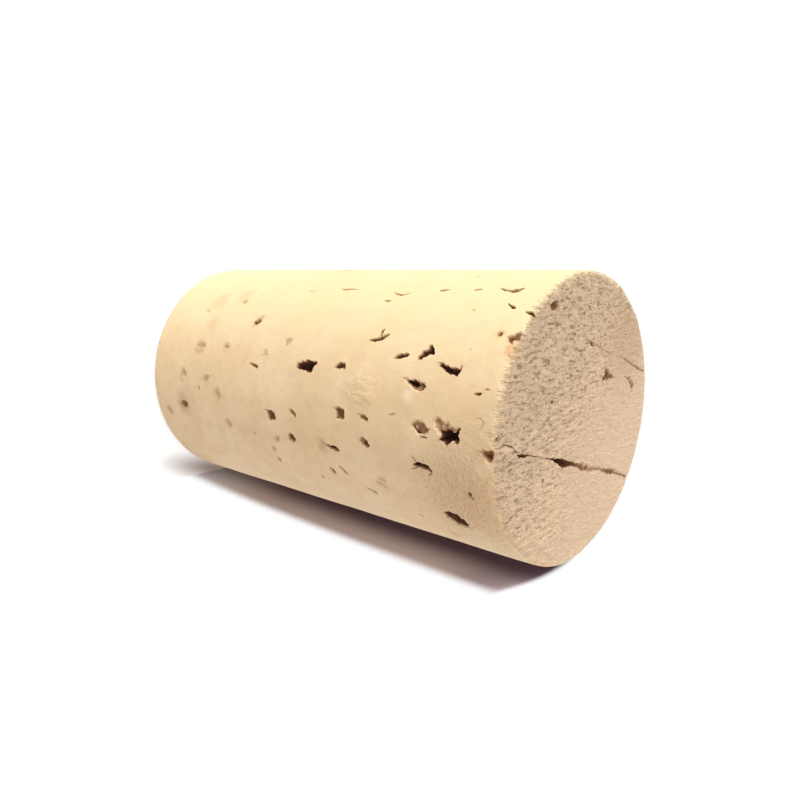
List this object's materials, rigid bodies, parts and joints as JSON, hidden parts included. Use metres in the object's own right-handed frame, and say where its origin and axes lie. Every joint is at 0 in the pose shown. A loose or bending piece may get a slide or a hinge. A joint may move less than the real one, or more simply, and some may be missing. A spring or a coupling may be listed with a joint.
{
  "type": "cork stopper",
  "caption": "Natural cork stopper: a straight round plug of punched cork with open pores in its wall and a split across its top end.",
  "frame": {"origin": "middle of the foot, the end that the plug stands on", "axes": "+Z along the plug's axis, from the foot to the split end; -Y is the front, where the wall's pores are largest"},
  "size_m": [0.024, 0.024, 0.045],
  "materials": {
    "cork": "matt natural cork, cut and unsealed"
  },
  "bodies": {
    "root": {"cork_stopper": "cork"}
  },
  "joints": []
}
